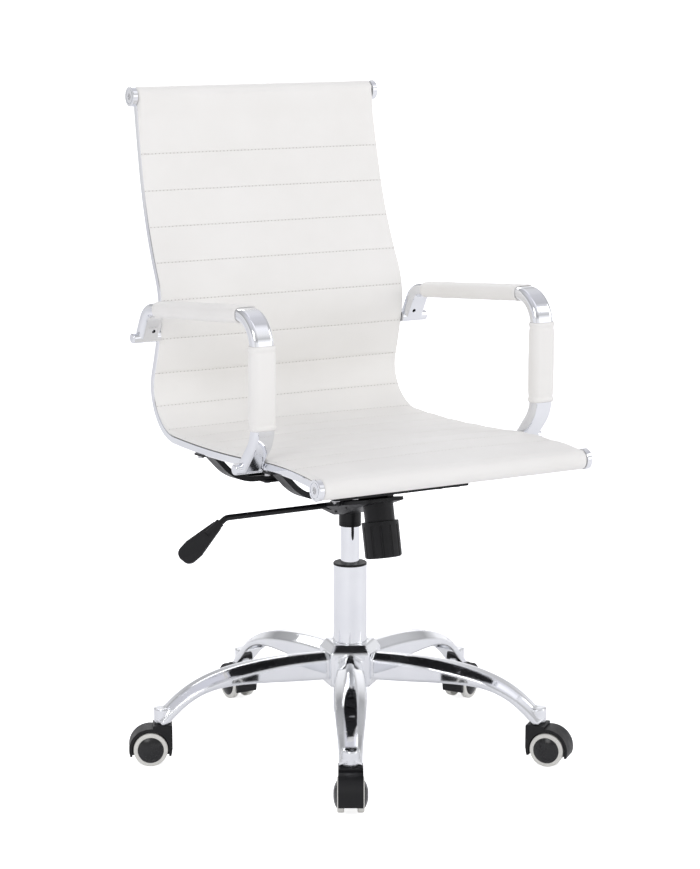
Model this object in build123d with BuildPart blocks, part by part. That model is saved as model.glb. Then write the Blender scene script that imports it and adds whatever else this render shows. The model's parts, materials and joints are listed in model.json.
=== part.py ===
from build123d import *
import math
import os

# High-back ribbed swivel chair with loop armrests, gas lift and a five-star base.
# Millimetres. +Z up, the chair faces -Y, and the origin is on the floor below the column.

os.makedirs("parts", exist_ok=True)

# ---------------------------------------------------------------- driving dimensions
wheel_r = 25.0
column_r = 25.0
gas_r = 14.0
base_reach = 289.0          # column axis to a caster's stem axis
arm_count = 5
first_arm_angle = -120.0    # the base arm at the front left

hub_top = 161.0
hub_bottom = 100.0
column_top = 278.2
column_bottom = 50.0
socket_bottom = 337.0       # lower end of the mechanism's taper socket

rail_deep = 12.0            # across the side profile
rail_wide = 9.0             # along X
frame_half = 213.0          # outer face of a side rail at frame_level
frame_level = 465.0
rail_lean = 1.16            # degrees that each rail leans in towards the top

roll_r = 14.7               # leather roll at the front and top edges
roll_bar_r = 10.0
cap_r = 15.0
cap_thick = 8.4
sling_front = 9.5           # sitting surface, in front of the rail's centre line
sling_back = 3.0            # rear surface, behind the rail's centre line
soft_gap = 0.3

arm_plane = 230.0           # X of each armrest loop
arm_wide = 34.0
arm_thick = 19.0
arm_wall = 2.0
stub_r = 8.0
stub_end = 256.0            # X of the outer end of an armrest stub
sleeve_thick = 1.8

tilt_y = -38.0              # tilt axle
tilt_z = 386.0
housing_y = -118.0          # zero of the housing's long axis, on its top
housing_z = 400.0
housing_pitch = 12.0        # the housing's top slopes down to the rear
seat_pitch = 2.8            # slope of the seat carrier, front end up
seat_level = 462.6          # height of the carrier's middle plane above the column
bow_drop = 48.0             # rail underside to the underside of a spreader
front_spreader_y = -130.0
rear_spreader_y = 75.0
run_gap = 0.05              # radial clearance of a running fit

# Side profile of a rail, from the top bar down to the front bar.
rail_top = (291.6, 958.6)
rail_heading = 10.0         # degrees from straight down towards the front
rail_bends = [              # (radius, turn in degrees; a negative turn bends to the rear)
    (2520.0, 2.7),
    (614.0, 14.7),
    (109.2, -40.5),
    (797.0, -5.3),
    (54.5, 30.3),
    (76.4, 76.6),
    (2323.0, 6.5),
    (839.6, -12.1),
]


# ---------------------------------------------------------------- helpers
def to_sitter(heading):
    """Unit vector (y, z) from the rail's centre line to the sitter's side."""
    return (-math.cos(math.radians(heading)), math.sin(math.radians(heading)))


def bend_starts():
    """Start point and heading of every bend of the rail, then of its end."""
    y, z = rail_top
    heading = rail_heading
    starts = [(y, z, heading)]
    for radius, turn in rail_bends:
        swing = math.copysign(radius, turn)
        before = to_sitter(heading)
        after = to_sitter(heading + turn)
        y += swing * (before[0] - after[0])
        z += swing * (before[1] - after[1])
        heading += turn
        starts.append((y, z, heading))
    return starts


starts = bend_starts()
front_bar_y, front_bar_z, front_heading = starts[-1]


def rail_point(bend, share, offset=0.0):
    """Point (y, z) at a share of one bend, moved to the sitter's side by offset."""
    y, z, heading = starts[bend]
    radius, turn = rail_bends[bend]
    swing = math.copysign(radius, turn)
    begin = to_sitter(heading)
    there = to_sitter(heading + turn * share)
    y += swing * begin[0] - (swing - offset) * there[0]
    z += swing * begin[1] - (swing - offset) * there[1]
    return (y, z)


def flat(point):
    """A side-profile point in a side plane whose origin is at frame_level."""
    return (point[0], point[1] - frame_level)


def rail_band(low, high):
    """Closed outline between two offsets of the rail, for the active line builder."""
    last = len(rail_bends) - 1
    for offset in (low, high):
        for bend in range(len(rail_bends)):
            ends = [flat(rail_point(bend, share, offset)) for share in (0, 0.5, 1)]
            ThreePointArc(*ends)
    Line(flat(rail_point(0, 0, low)), flat(rail_point(0, 0, high)))
    Line(flat(rail_point(last, 1, low)), flat(rail_point(last, 1, high)))


def leaning_plane(side, half):
    """Side plane that leans with a rail: side is 1 or -1, half is its X at frame_level."""
    lean = math.radians(rail_lean)
    normal = (math.cos(lean), 0, side * math.sin(lean))
    return Plane(origin=(side * half, 0, frame_level), x_dir=(0, 1, 0), z_dir=normal)


def finish(builder, name):
    builder.part.label = name
    export_step(builder.part, f"parts/{name}.step")


# ---------------------------------------------------------------- gas lift
column_inner = 23.0
column_floor = 4.0
collar_height = 3.1
guide_bottom = 196.0
rod_r = 5.0
rod_top = 250.0
gas_bottom = 165.0
gas_wall = 2.0
gas_top = 358.0
pin_r = 3.4
pin_top = 366.4

with BuildPart() as outer_column:
    with BuildSketch(Plane.XY.offset(column_bottom)):
        Circle(column_r)
    extrude(amount=column_top - column_bottom)
    with BuildSketch(Plane.XY.offset(column_bottom + column_floor)):
        Circle(column_inner)
    extrude(amount=column_top - column_bottom, mode=Mode.SUBTRACT)
    chamfer(outer_column.edges().group_by(Axis.Z)[0], 1.5)
finish(outer_column, "outer_column")

with BuildPart() as column_collar:
    with BuildSketch(Plane.XY.offset(column_top)):
        Circle(column_r)
    extrude(amount=collar_height)
    fillet(column_collar.edges().group_by(Axis.Z)[-1], 1.2)
    with BuildSketch(Plane.XY.offset(guide_bottom)):
        Circle(column_inner)
    extrude(amount=column_top - guide_bottom)
    with BuildSketch(Plane.XY.offset(guide_bottom)):
        Circle(gas_r + run_gap)
    extrude(amount=column_top + collar_height - guide_bottom, mode=Mode.SUBTRACT)
finish(column_collar, "column_collar")

with BuildPart() as gas_rod:
    rod_bottom = column_bottom + column_floor
    with BuildSketch(Plane.XY.offset(rod_bottom)):
        Circle(12.0)
    extrude(amount=6.0)
    with BuildSketch(Plane.XY.offset(rod_bottom)):
        Circle(rod_r)
    extrude(amount=rod_top - rod_bottom)
    with BuildSketch(Plane.XY.offset(rod_top - 8.0)):
        Circle(gas_r - gas_wall - run_gap)
    extrude(amount=8.0)
finish(gas_rod, "gas_rod")

with BuildPart() as gas_cylinder:
    with BuildSketch(Plane.XY.offset(gas_bottom)):
        Circle(gas_r)
    extrude(amount=socket_bottom - gas_bottom)
    with BuildSketch(Plane.XY.offset(socket_bottom)):
        Circle(gas_r - 0.3)
    extrude(amount=gas_top - socket_bottom, taper=1.5)
    with BuildSketch(Plane.XY.offset(gas_bottom + 8.0)):
        Circle(gas_r - gas_wall)
    extrude(amount=socket_bottom - 12.0 - gas_bottom, mode=Mode.SUBTRACT)
    with BuildSketch(Plane.XY.offset(gas_bottom)):
        Circle(rod_r + run_gap)
    extrude(amount=10.0, mode=Mode.SUBTRACT)
    with BuildSketch(Plane.XY.offset(gas_top - 26.0)):
        Circle(pin_r + run_gap)
    extrude(amount=26.0, mode=Mode.SUBTRACT)
finish(gas_cylinder, "gas_cylinder")

with BuildPart() as release_pin:
    with BuildSketch(Plane.XY.offset(gas_top - 18.0)):
        Circle(pin_r)
    extrude(amount=pin_top - gas_top + 18.0)
    chamfer(release_pin.edges().group_by(Axis.Z)[-1], 0.6)
finish(release_pin, "release_pin")


# ---------------------------------------------------------------- star base
hub_apothem = 39.0
hub_crown = 31.0
crown_height = 12.0
socket_r = 12.5
socket_low = 62.0
socket_high = 84.0
stem_r = 5.5
arm_skin = 3.0
# Stations of a base arm: reach, top height, depth, width, slope, shoulder, ridge half width.
arm_stations = [
    (26.0, 147.5, 38.0, 36.0, 0.0, 0.78, 4.0),
    (70.0, 147.0, 38.0, 38.0, 0.0, 0.76, 4.5),
    (125.0, 145.0, 33.0, 45.0, -4.0, 0.70, 6.5),
    (178.0, 138.0, 25.0, 47.0, -12.0, 0.58, 8.5),
    (226.0, 124.0, 18.0, 44.0, -24.0, 0.48, 9.0),
    (265.0, 102.0, 16.5, 37.5, -38.0, 0.48, 8.0),
    (300.5, 68.5, 16.0, 33.0, -50.0, 0.48, 7.0),
]


def arm_section(station, skin):
    """Section of a base arm on its own plane, made smaller by skin for the hollow."""
    reach, top, depth, width, slope, shoulder, ridge = station
    tilt = math.radians(slope)
    plane = Plane(
        origin=(reach, 0, top),
        x_dir=(0, 1, 0),
        z_dir=(math.cos(tilt), 0, math.sin(tilt)),
    )
    half = width / 2 - skin
    low = -depth - (1.0 if skin else 0.0)
    mid = -depth * (1 - shoulder) - skin * 0.4
    points = [(-half, low), (half, low), (half, mid), (ridge, -skin), (-ridge, -skin), (-half, mid)]
    with BuildSketch(plane) as section:
        with BuildLine():
            Polyline(*points, close=True)
        make_face()
        fillet(section.vertices(), 1.2 if skin else 2.4)
    return section.sketch


def base_arm():
    with BuildPart() as shell:
        loft([arm_section(station, 0.0) for station in arm_stations])
        loft([arm_section(station, arm_skin) for station in arm_stations[:-1]], mode=Mode.SUBTRACT)
        with BuildSketch(Plane.XY.offset(socket_low)):
            with Locations((base_reach, 0)):
                Circle(socket_r)
        extrude(amount=socket_high - socket_low)
        with BuildSketch(Plane.XY.offset(socket_low)):
            with Locations((base_reach, 0)):
                Rectangle(80, 80)
        extrude(amount=-30.0, mode=Mode.SUBTRACT)
    return shell.part


with BuildPart() as star_base:
    with BuildSketch(Plane.XY.offset(hub_bottom)):
        RegularPolygon(hub_apothem, arm_count, major_radius=False, rotation=first_arm_angle + 36)
    extrude(amount=hub_top - crown_height - hub_bottom)
    crown_slope = math.degrees(math.atan((hub_apothem - hub_crown) / crown_height))
    with BuildSketch(Plane.XY.offset(hub_top - crown_height)):
        RegularPolygon(hub_apothem, arm_count, major_radius=False, rotation=first_arm_angle + 36)
    extrude(amount=crown_height, taper=crown_slope)
    with PolarLocations(0, arm_count, first_arm_angle):
        add(base_arm())
    with BuildSketch(Plane.XY.offset(hub_bottom)):
        Circle(column_r + 0.02)
    extrude(amount=hub_top - hub_bottom, mode=Mode.SUBTRACT)
    with BuildSketch(Plane.XY.offset(socket_low)):
        with PolarLocations(base_reach, arm_count, first_arm_angle):
            Circle(stem_r)
    extrude(amount=18.0, mode=Mode.SUBTRACT)
finish(star_base, "star_base")


# ---------------------------------------------------------------- casters
trail = 18.0                # stem axis to wheel axle
hood_r = 31.5
hood_half = 17.5
hood_top = 60.5
hood_skirt = 15.0           # lowest point of the hood
boss_half = 14.0
web_half = 8.0
wheel_well_r = 26.8
hub_r = 19.0
axle_r = 3.0
axle_half = 20.0
wheel_inner = 8.6           # inner face of a wheel, from the caster's middle
tyre_inner = 9.2
tyre_outer = 19.0
cap_bulge = 24.3            # outermost point of a wheel's side cap
cap_flat = 4.0
washer_r = 8.5
caster_names = ["front", "right", "rear_right", "rear_left", "left"]
caster_toe = [0.0, -2.0, 6.0, -4.0, -13.0]


def caster_frame(index):
    """Floor plane of one caster: origin under the stem, X along the trail."""
    along = math.radians(first_arm_angle + index * 360 / arm_count)
    trail_way = along + math.radians(caster_toe[index])
    return Plane(
        origin=(base_reach * math.cos(along), base_reach * math.sin(along), 0),
        x_dir=(math.cos(trail_way), math.sin(trail_way), 0),
        z_dir=(0, 0, 1),
    )


def in_caster(frame, side):
    """Plane through a caster's wheels: X along the trail, Y up, Z to one side."""
    across = frame.y_dir * -side
    return Plane(origin=frame.origin, x_dir=frame.x_dir * side, z_dir=across)


def caster_hood(frame):
    upright = in_caster(frame, 1)
    with BuildPart() as hood:
        with BuildSketch(upright):
            with Locations((trail, wheel_r)):
                Circle(hood_r)
            with Locations((0, (hood_top + wheel_r) / 2)):
                Rectangle(2 * boss_half, hood_top - wheel_r)
            with Locations((trail + 8, hood_skirt - 20)):
                Rectangle(120, 40, mode=Mode.SUBTRACT)
        extrude(amount=hood_half, both=True)
        for side in (1, -1):
            with BuildSketch(upright.offset(side * web_half)):
                with Locations((trail, wheel_r)):
                    Circle(wheel_well_r)
                    with Locations((0, -20)):
                        Rectangle(2 * wheel_well_r, 40)
            extrude(amount=side * 30.0, mode=Mode.SUBTRACT)
        with BuildSketch(frame.offset(30.0)):
            Circle(stem_r + run_gap)
        extrude(amount=40.0, mode=Mode.SUBTRACT)
        with BuildSketch(upright):
            with Locations((trail, wheel_r)):
                Circle(axle_r)
        extrude(amount=40.0, both=True, mode=Mode.SUBTRACT)
        fillet(hood.edges().group_by(Axis.Z)[-1], 1.5)
    return hood


def caster_axle(frame):
    with BuildPart() as axle:
        with BuildSketch(in_caster(frame, 1)):
            with Locations((trail, wheel_r)):
                Circle(axle_r)
        extrude(amount=axle_half, both=True)
        chamfer(axle.edges(), 0.5)
    return axle


def wheel_plane(frame, side):
    """Half plane for a wheel's section: X across the wheel's width, Y outward in radius."""
    centre = frame.from_local_coords((trail, 0, wheel_r))
    return Plane(origin=centre, x_dir=frame.y_dir * side, z_dir=frame.x_dir * side)


def wheel_axis(frame):
    return Axis(frame.from_local_coords((trail, 0, wheel_r)), frame.y_dir)


def caster_wheel(frame, side):
    bore = axle_r + run_gap
    rim = tyre_outer + 0.4
    with BuildPart() as wheel:
        with BuildSketch(wheel_plane(frame, side)):
            with BuildLine():
                Polyline(
                    (rim, hub_r), (wheel_inner, hub_r), (wheel_inner, bore),
                    (axle_half + 0.5, bore), (axle_half + 0.5, 0), (cap_bulge, 0), (cap_bulge, cap_flat),
                )
                ThreePointArc((cap_bulge, cap_flat), (cap_bulge - 1.4, hub_r * 0.62), (rim, hub_r))
            make_face()
        revolve(axis=wheel_axis(frame))
    return wheel


def caster_tyre(frame, side):
    with BuildPart() as tyre:
        with BuildSketch(wheel_plane(frame, side)) as section:
            with Locations(((tyre_inner + tyre_outer) / 2, (hub_r + wheel_r) / 2)):
                Rectangle(tyre_outer - tyre_inner, wheel_r - hub_r)
            fillet(section.vertices().group_by(Axis.Y)[-1], 2.2)
        revolve(axis=wheel_axis(frame))
    return tyre


stem_top = 79.0
with BuildPart() as caster_stems:
    for index in range(arm_count):
        stem_frame = caster_frame(index)
        with BuildSketch(stem_frame.offset(34.0)):
            Circle(stem_r)
        extrude(amount=stem_top - 34.0)
        with BuildSketch(stem_frame.offset(hood_top + 0.1)):
            Circle(washer_r)
        extrude(amount=socket_low - hood_top - 0.1)
finish(caster_stems, "caster_stems")

for index, place in enumerate(caster_names):
    frame = caster_frame(index)
    finish(caster_hood(frame), f"caster_{place}_hood")
    finish(caster_axle(frame), f"caster_{place}_axle")
    for side, hand in ((1, "a"), (-1, "b")):
        finish(caster_wheel(frame, side), f"caster_{place}_wheel_{hand}")
        finish(caster_tyre(frame, side), f"caster_{place}_tyre_{hand}")


# ---------------------------------------------------------------- tilt mechanism
pan_front = 12.0            # along the housing
pan_back = 144.0
pan_front_half = 30.0
pan_back_half = 48.0
pan_rim = 5.0
pan_depth = 19.5
pan_wall = 3.0
pan_foot_front = 103.0
pan_foot_back = 145.0
pan_foot_half = 20.0
pan_corner = 9.0
boss_r = 16.5
boss_top = 362.0
tilt_axle_r = 5.0
tilt_axle_half = 50.0
tilt_boss_r = 9.0
tilt_boss_half = 42.0
tilt_web_half = 33.0
knob_along = 39.5           # knob axis, along the housing
tube_r = 22.0
tube_wall = 3.0
tube_bottom = 32.6
knob_r = 27.0
knob_length = 53.0
shaft_r = 5.0
lever_r = 4.3
lever_z = 371.0
lever_pivot_x = -26.0
lever_pin_r = 2.0
lug_wide = 7.0
lug_high = 14.4

housing_lean = math.radians(housing_pitch)
housing_plane = Plane(
    origin=(0, housing_y, housing_z),
    x_dir=(1, 0, 0),
    z_dir=(0, math.sin(housing_lean), math.cos(housing_lean)),
)


def pan_section(depth, front, back, halves, skin):
    """Level section of the housing's pan, made smaller by skin."""
    front_half, back_half = halves
    with BuildSketch(housing_plane.offset(-depth)) as section:
        Polygon(
            (skin - front_half, front + skin), (front_half - skin, front + skin),
            (back_half - skin, back - skin), (skin - back_half, back - skin), align=None,
        )
        fillet(section.vertices(), pan_corner - skin)
    return section.sketch


def pan_solid(skin):
    """The pan's outside, or its hollow when skin is its wall thickness."""
    rim_depth = pan_rim - skin / 2
    rim = pan_section(rim_depth, pan_front, pan_back, (pan_front_half, pan_back_half), skin)
    foot_halves = (pan_foot_half, pan_foot_half)
    foot = pan_section(pan_depth - skin, pan_foot_front, pan_foot_back, foot_halves, skin)
    with BuildPart() as solid:
        extrude(rim, amount=rim_depth + skin)
        loft([rim, foot])
    return solid.part


with BuildPart() as tilt_housing:
    add(pan_solid(0.0))
    with BuildSketch(housing_plane.offset(-tube_bottom)):
        with Locations((0, knob_along)):
            Circle(tube_r)
    extrude(amount=tube_bottom - 2.0)
    with BuildSketch(Plane.XY.offset(socket_bottom)):
        Circle(boss_r)
    extrude(amount=boss_top - 8.0 - socket_bottom)
    add(pan_solid(pan_wall), mode=Mode.SUBTRACT)
    with BuildSketch(Plane.XY.offset(boss_top - 18.0)):
        Circle(boss_r)
    extrude(amount=18.0)
    for groove in (2.0, 5.0):
        with BuildSketch(Plane.XY.offset(socket_bottom + groove)):
            Circle(boss_r)
            Circle(boss_r - 0.8, mode=Mode.SUBTRACT)
        extrude(amount=1.2, mode=Mode.SUBTRACT)
    with BuildSketch(housing_plane.offset(-tube_bottom + tube_wall)):
        with Locations((0, knob_along)):
            Circle(tube_r - tube_wall)
    extrude(amount=tube_bottom, mode=Mode.SUBTRACT)
    with BuildSketch(housing_plane.offset(-tube_bottom)):
        with Locations((0, knob_along)):
            Circle(shaft_r + run_gap)
    extrude(amount=tube_bottom, mode=Mode.SUBTRACT)
    with BuildSketch(Plane.XY.offset(socket_bottom)):
        Circle(gas_r - 0.28)
    extrude(amount=gas_top - socket_bottom + 0.1, taper=1.5, mode=Mode.SUBTRACT)
    with BuildSketch(Plane.XY.offset(gas_top - 1)):
        Circle(pin_r + 0.6)
    extrude(amount=20.0, mode=Mode.SUBTRACT)
    with BuildSketch(Plane.YZ.offset(-tilt_boss_half)):
        with Locations((tilt_y, tilt_z)):
            Circle(tilt_boss_r)
    extrude(amount=2 * tilt_boss_half)
    with BuildSketch(Plane.YZ.offset(-tilt_web_half)):
        with Locations((tilt_y, tilt_z)):
            Rectangle(13.0, 12.0, align=(Align.CENTER, Align.MAX))
    extrude(amount=2 * tilt_web_half)
    with BuildSketch(Plane.YZ.offset(-tilt_boss_half)):
        with Locations((tilt_y, tilt_z)):
            Circle(tilt_axle_r + run_gap)
    extrude(amount=2 * tilt_boss_half, mode=Mode.SUBTRACT)
    for side in (1, -1):
        with Locations((lever_pivot_x, side * 6.5, lever_z + 4.0)):
            Box(lug_wide, 3.0, lug_high, align=(Align.CENTER, Align.CENTER, Align.MAX))
    with BuildSketch(Plane.XZ.offset(-7.0)):
        with Locations((lever_pivot_x, lever_z)):
            Circle(lever_pin_r)
    extrude(amount=14.0)
    with Locations((-31.0, 0, lever_z - 6.5)):
        Box(30.0, 10.4, 40.0, align=(Align.MAX, Align.CENTER, Align.MIN), mode=Mode.SUBTRACT)
finish(tilt_housing, "tilt_housing")

with BuildPart() as tension_knob:
    with BuildSketch(housing_plane.offset(-tube_bottom - 0.4)):
        with Locations((0, knob_along)):
            Circle(knob_r)
    extrude(amount=-knob_length)
    fillet(tension_knob.edges().group_by(Axis.Z)[0], 4.0)
    with BuildSketch(housing_plane.offset(-tube_bottom - 6.0)):
        with Locations((0, knob_along)):
            with PolarLocations(knob_r + 0.6, 12):
                Circle(1.9)
    extrude(amount=-knob_length, mode=Mode.SUBTRACT)
    with BuildSketch(housing_plane.offset(-tube_bottom - 2.0)):
        with Locations((0, knob_along)):
            Circle(shaft_r)
    extrude(amount=22.0)
finish(tension_knob, "tension_knob")

spring_r = 12.0
spring_wire = 1.6
spring_height = 19.0
coil_foot = -tube_bottom + tube_wall + spring_wire + 0.1
coil_plane = Plane(
    origin=housing_plane.from_local_coords((0, knob_along, coil_foot)),
    x_dir=(1, 0, 0),
    z_dir=housing_plane.z_dir,
)
with BuildPart() as tension_spring:
    with BuildLine(coil_plane) as coil:
        Helix(pitch=4.6, height=spring_height, radius=spring_r)
    with BuildSketch(Plane(origin=coil.line @ 0, z_dir=coil.line % 0)):
        Circle(spring_wire)
    sweep()
finish(tension_spring, "tension_spring")

# The lever: a round rod that bends down to a flat paddle.
rod_bend = (-206.0, lever_z)
rod_end = (-226.0, 357.0)
paddle_tip = (-277.0, 317.0)
paddle_half = 16.0
paddle_thick = 7.0
paddle_twist = 38.0         # the paddle's face turns towards the front


def lever_bar():
    with BuildPart() as bar:
        with BuildLine(Plane.XZ) as path:
            FilletPolyline((0.5, lever_z), rod_bend, rod_end, radius=12)
        with BuildSketch(Plane(origin=path.line @ 0, z_dir=path.line % 0)):
            Circle(lever_r)
        sweep()
    return bar.part


with BuildPart() as lever_rod:
    add(lever_bar())
    with BuildSketch(Plane.XZ.offset(-10.0)):
        with Locations((lever_pivot_x, lever_z)):
            Circle(lever_pin_r + run_gap)
    extrude(amount=20.0, mode=Mode.SUBTRACT)
finish(lever_rod, "lever_rod")

with BuildPart() as lever_paddle:
    drop = (paddle_tip[0] - rod_end[0], paddle_tip[1] - rod_end[1])
    span = math.hypot(*drop)
    paddle_way = (drop[0] / span, 0, drop[1] / span)
    twist = math.radians(paddle_twist)
    paddle_face = (
        paddle_way[2] * math.cos(twist),
        -math.sin(twist),
        -paddle_way[0] * math.cos(twist),
    )
    paddle_plane = Plane(origin=(rod_end[0], 0, rod_end[1]), x_dir=paddle_way, z_dir=paddle_face)
    with BuildSketch(paddle_plane) as outline:
        Polygon(
            (-9.0, -7.0), (-9.0, 7.0), (span * 0.62, paddle_half), (span, paddle_half - 1.5),
            (span, 1.5 - paddle_half), (span * 0.62, -paddle_half), align=None,
        )
        fillet(outline.vertices().group_by(Axis.X)[-1], 12.0)
        fillet(outline.vertices().group_by(Axis.X)[0], 3.0)
    extrude(amount=paddle_thick / 2, both=True)
    chamfer(lever_paddle.faces().sort_by(SortBy.AREA)[-2:].edges(), 1.5)
    with BuildSketch(Plane(origin=paddle_plane.from_local_coords((-13.0, 0, 0)), z_dir=paddle_way)):
        Circle(lever_r + 2.2)
    extrude(amount=26.0)
    add(lever_bar(), mode=Mode.SUBTRACT)
finish(lever_paddle, "lever_paddle")


# ---------------------------------------------------------------- seat carrier
seat_lean = math.radians(seat_pitch)
carrier = Plane(
    origin=(0, 0, seat_level),
    x_dir=(1, 0, 0),
    z_dir=(0, math.sin(seat_lean), math.cos(seat_lean)),
)
bow_low = rail_deep / 2 + bow_drop      # carrier plane down to a spreader's underside
tab_gap = 0.8
bow_web = 3.0
bow_flange = 8.0
bow_wide = 30.0
bow_flat = 126.0
bow_arc_r = 70.0
bow_turn = 48.0
bow_small_r = 10.0
bow_tab = 211.0
plate_thick = 3.0
plate_gap = 0.05
ear_in = 43.0
ear_thick = 4.0
ear_r = 8.0
bolt_x = (-100.0, -70.0, 70.0, 100.0)
bolt_r = 3.0
dome_r = 6.0
tab_bolt_x = 207.8


def bow_line(rise):
    """Half of a spreader's profile, raised square to its underside by rise."""
    turn = math.radians(bow_turn)
    tab_low = -rail_deep / 2 - tab_gap - bow_web
    climb = tab_low + bow_low
    climb -= bow_arc_r * (1 - math.cos(turn)) + bow_small_r * (1 - math.cos(turn))
    straight = climb / math.sin(turn)
    big = bow_arc_r - rise
    small = bow_small_r + rise
    low = -bow_low
    arc_end = (bow_flat + big * math.sin(turn), low + bow_arc_r - big * math.cos(turn))
    arc_mid = (bow_flat + big * math.sin(turn / 2), low + bow_arc_r - big * math.cos(turn / 2))
    line_end = (arc_end[0] + straight * math.cos(turn), arc_end[1] + straight * math.sin(turn))
    centre = (line_end[0] + small * math.sin(turn), line_end[1] - small * math.cos(turn))
    small_mid = (centre[0] - small * math.sin(turn / 2), centre[1] + small * math.cos(turn / 2))
    small_end = (centre[0], centre[1] + small)
    return [(bow_flat, low + rise), arc_mid, arc_end, line_end, small_mid, small_end]


def bow_outline(rise):
    """Closed profile of one spreader from its underside up to rise."""
    for side in (1, -1):
        for height in (0.0, rise):
            flat_end, arc_mid, arc_end, line_end, small_mid, small_end = [
                (side * x, z) for x, z in bow_line(height)
            ]
            ThreePointArc(flat_end, arc_mid, arc_end)
            Line(arc_end, line_end)
            ThreePointArc(line_end, small_mid, small_end)
            Line(small_end, (side * bow_tab, small_end[1]))
        tab_low = bow_line(0.0)[-1][1]
        tab_high = bow_line(rise)[-1][1]
        Line((side * bow_tab, tab_low), (side * bow_tab, tab_high))
    Line((-bow_flat, -bow_low), (bow_flat, -bow_low))
    Line((-bow_flat, rise - bow_low), (bow_flat, rise - bow_low))


def spreader(along):
    """Pressed-steel bow across the chair, at a distance along the carrier."""
    face = Plane(
        origin=carrier.from_local_coords((0, along, 0)),
        x_dir=(1, 0, 0),
        z_dir=carrier.y_dir * -1,
    )
    with BuildPart() as bow:
        for low, high, rise in ((-15.0, 15.0, bow_web), (-15.0, -12.6, bow_flange), (12.6, 15.0, bow_flange)):
            with BuildSketch(face.offset(low)):
                with BuildLine():
                    bow_outline(rise)
                make_face()
            extrude(amount=high - low)
        with BuildSketch(carrier.offset(-rail_deep / 2 - tab_gap)):
            with Locations((0, along)):
                Rectangle(600, 60)
        extrude(amount=30.0, mode=Mode.SUBTRACT)
        with BuildSketch(carrier.offset(-bow_low - 5)):
            with Locations(*[(x, along) for x in bolt_x]):
                Circle(bolt_r)
        extrude(amount=15.0, mode=Mode.SUBTRACT)
        with BuildSketch(carrier.offset(-rail_deep / 2 - tab_gap - 10.0)):
            with Locations((tab_bolt_x, along), (-tab_bolt_x, along)):
                Circle(bolt_r - 0.5)
        extrude(amount=12.0, mode=Mode.SUBTRACT)
    return bow


finish(spreader(front_spreader_y), "front_spreader")
finish(spreader(rear_spreader_y), "rear_spreader")

with BuildPart() as seat_plate:
    plate_top = -bow_low - plate_gap
    with BuildSketch(carrier.offset(plate_top - plate_thick)):
        with Locations((0, front_spreader_y), (0, rear_spreader_y)):
            RectangleRounded(224.0, 40.0, 6.0)
        with Locations((0, (front_spreader_y + rear_spreader_y) / 2)):
            Rectangle(116.0, rear_spreader_y - front_spreader_y)
        with Locations(*[(x, y) for x in bolt_x for y in (front_spreader_y, rear_spreader_y)]):
            Circle(bolt_r, mode=Mode.SUBTRACT)
    extrude(amount=plate_thick)
    for side in (1, -1):
        with BuildSketch(Plane.YZ.offset(side * ear_in)):
            with Locations((tilt_y, tilt_z)):
                Circle(ear_r)
            Polygon(
                (tilt_y - ear_r, tilt_z), (tilt_y + ear_r, tilt_z),
                (tilt_y + 20.0, tilt_z + 21.5), (tilt_y - 20.0, tilt_z + 23.5), align=None,
            )
        extrude(amount=side * ear_thick)
        with BuildSketch(Plane.YZ.offset(side * (ear_in - 1))):
            with Locations((tilt_y, tilt_z)):
                Circle(tilt_axle_r + 0.02)
        extrude(amount=side * (ear_thick + 2), mode=Mode.SUBTRACT)
finish(seat_plate, "seat_plate")

with BuildPart() as tilt_axle:
    with BuildSketch(Plane.YZ.offset(-tilt_axle_half)):
        with Locations((tilt_y, tilt_z)):
            Circle(tilt_axle_r)
    extrude(amount=2 * tilt_axle_half)
    chamfer(tilt_axle.edges(), 0.8)
finish(tilt_axle, "tilt_axle")

back_bar_share = 0.36       # along the long bend below the top bar
back_bar_bend = 1
back_bar_gap = 0.8
back_bar_wide = 28.0
back_bar_thick = 6.0
back_bar_y, back_bar_z = rail_point(back_bar_bend, back_bar_share)
back_heading = starts[back_bar_bend][2] + rail_bends[back_bar_bend][1] * back_bar_share
back_down = (0, -math.sin(math.radians(back_heading)), -math.cos(math.radians(back_heading)))
back_front = (0, *to_sitter(back_heading))
back_bar_plane = Plane(origin=(0, back_bar_y, back_bar_z), x_dir=(1, 0, 0), z_dir=back_front)

with BuildPart() as back_spreader:
    with BuildSketch(back_bar_plane.offset(-sling_back - back_bar_gap - back_bar_thick)):
        Rectangle(440, back_bar_wide)
    extrude(amount=back_bar_thick)
    for side in (1, -1):
        with BuildSketch(leaning_plane(side, frame_half - rail_wide - 0.1)):
            Rectangle(900, 1200)
        extrude(amount=side * 60.0, mode=Mode.SUBTRACT)
    chamfer(back_spreader.edges().filter_by(Axis.X), 0.8)
finish(back_spreader, "back_spreader")


def side_rail(side):
    inner = leaning_plane(side, frame_half - rail_wide)
    with BuildPart() as rail:
        with BuildSketch(inner):
            with BuildLine():
                rail_band(-rail_deep / 2, rail_deep / 2)
            make_face()
            with Locations(flat(rail_top), flat((front_bar_y, front_bar_z))):
                Circle(rail_deep / 2)
        extrude(amount=side * rail_wide)
        chamfer(rail.faces().sort_by(SortBy.AREA)[-2:].edges(), 1.7)
        with BuildSketch(carrier.offset(-rail_deep)):
            with Locations((side * tab_bolt_x, front_spreader_y), (side * tab_bolt_x, rear_spreader_y)):
                Circle(bolt_r - 0.5)
        extrude(amount=rail_deep + 2.0, mode=Mode.SUBTRACT)
    return rail


finish(side_rail(1), "side_rail_left")
finish(side_rail(-1), "side_rail_right")

with BuildPart() as roll_bars:
    with BuildSketch(Plane.YZ.offset(-230)):
        with Locations(rail_top, (front_bar_y, front_bar_z)):
            Circle(roll_bar_r)
    extrude(amount=460)
    for side in (1, -1):
        with BuildSketch(leaning_plane(side, frame_half - rail_wide - 0.05)):
            Rectangle(1300, 1300)
        extrude(amount=side * 60.0, mode=Mode.SUBTRACT)
finish(roll_bars, "roll_bars")

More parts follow.
